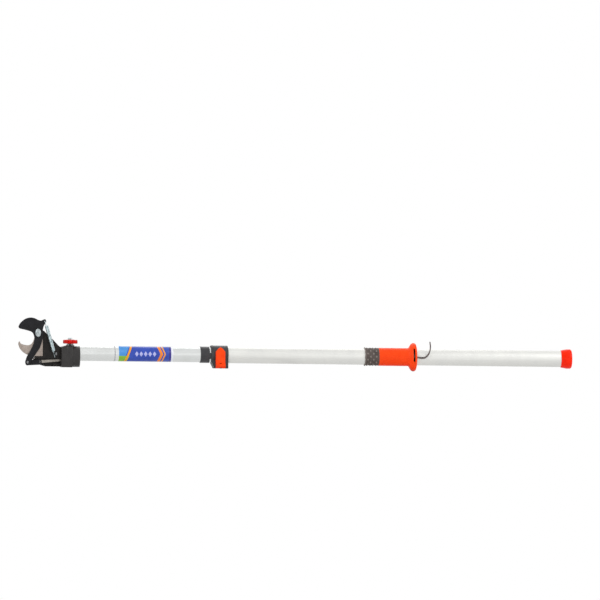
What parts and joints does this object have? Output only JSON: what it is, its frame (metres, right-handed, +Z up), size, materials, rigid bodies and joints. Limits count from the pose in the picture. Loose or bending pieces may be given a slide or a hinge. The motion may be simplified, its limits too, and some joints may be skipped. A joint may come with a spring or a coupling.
{
  "type": "telescopic pole pruner",
  "caption": "Telescoping pole pruner with a hooked bypass head, return spring, clamping knob, lever clamp and a sliding grip that closes the blade.",
  "frame": {"origin": "under the middle of the whole length, on the plane that the tool lies on", "axes": "+X along the pole from the cutting head to the end cap, +Z up from the ground face, -Y towards the side with the cutting blade"},
  "size_m": [1.619, 0.0552, 0.0963],
  "materials": {
    "black_enamel": "satin black coating",
    "hook_steel": "ground, warm grey",
    "bright_steel": "zinc plated",
    "spring_steel": "bright plated",
    "wire_steel": "dark coated wire",
    "housing_plastic": "moulded, fine grain",
    "clamp_plastic": "moulded, fine grain",
    "grip_rubber": "matt, dimpled",
    "orange_plastic": "moulded",
    "cap_plastic": "moulded",
    "knob_plastic": "moulded, glossy",
    "polished_aluminium": "polished",
    "satin_aluminium": "satin anodised",
    "acetal": "turned"
  },
  "bodies": {
    "pole": {"lower_tube": "satin_aluminium", "collet_sleeve": "clamp_plastic", "clamp_body": "clamp_plastic", "cam_pin": "bright_steel", "clamp_screw": "bright_steel", "clamp_nut": "bright_steel", "end_cap": "cap_plastic"},
    "head": {"upper_tube": "polished_aluminium", "tube_rivet": "bright_steel", "guide_bush": "acetal", "head_housing": "housing_plastic", "head_plate": "black_enamel", "hook_blade": "hook_steel", "hook_screw": "bright_steel", "pivot_bolt": "bright_steel", "pivot_nut": "bright_steel", "plate_screw_front": "bright_steel", "plate_screw_rear": "bright_steel", "knob_stud": "bright_steel", "knob_washer": "bright_steel", "return_spring": "spring_steel"},
    "blade": {"cutting_blade": "black_enamel", "link_pin": "bright_steel"},
    "link": {"link_bar": "black_enamel"},
    "drive": {"pull_strip": "bright_steel", "strip_pin": "bright_steel", "crosshead": "acetal", "crosshead_pin_strip": "bright_steel", "crosshead_pin_rod": "bright_steel", "drive_rod": "bright_steel"},
    "knob": {"star_knob": "knob_plastic"},
    "lever": {"cam_lever": "orange_plastic"},
    "grip": {"grip_collar": "grip_rubber", "grip_sleeve": "orange_plastic", "drive_tube": "bright_steel", "drive_pin": "bright_steel"},
    "hook": {"hook_wire": "wire_steel"}
  },
  "joints": [
    {"name": "telescope", "type": "slide", "parent": "pole", "child": "head", "axis": [-1, 0, 0], "range_m": [0, 0.3]},
    {"name": "grip_slide", "type": "slide", "parent": "pole", "child": "grip", "axis": [1, 0, 0], "range_m": [0, 0.032], "stiffness_N_per_m": 700, "springref_m": -0.012},
    {"name": "drive_slide", "type": "slide", "parent": "head", "child": "drive", "axis": [1, 0, 0], "range_m": [0, 0.032]},
    {"name": "blade_hinge", "type": "hinge", "parent": "head", "child": "blade", "pos_m": [-0.75275, -0.00215, 0.0666], "axis": [0, -1, 0], "range_deg": [0, 30.6], "deforming": ["return_spring"]},
    {"name": "link_hinge", "type": "hinge", "parent": "blade", "child": "link", "pos_m": [-0.78285, -0.00215, 0.0091], "axis": [0, 1, 0], "range_deg": [0, 17.61]},
    {"name": "knob_turn", "type": "hinge", "parent": "head", "child": "knob", "pos_m": [-0.65755, 0, 0.0486], "axis": [0, 0, 1], "continuous": true},
    {"name": "lever_hinge", "type": "hinge", "parent": "pole", "child": "lever", "pos_m": [-0.22145, -0.0213, 0.0067], "axis": [1, 0, 0], "range_deg": [0, 90]},
    {"name": "hook_swing", "type": "hinge", "parent": "grip", "child": "hook", "pos_m": [0.35405, 0, 0.0276], "axis": [1, 0, 0], "range_deg": [-15, 15]}
  ],
  "couplings": [
    {"joint": "drive_slide", "follows": "grip_slide", "ratio": 1},
    {"joint": "blade_hinge", "follows": "grip_slide", "rad_per_m": 16.68},
    {"joint": "link_hinge", "follows": "grip_slide", "rad_per_m": 9.6}
  ]
}
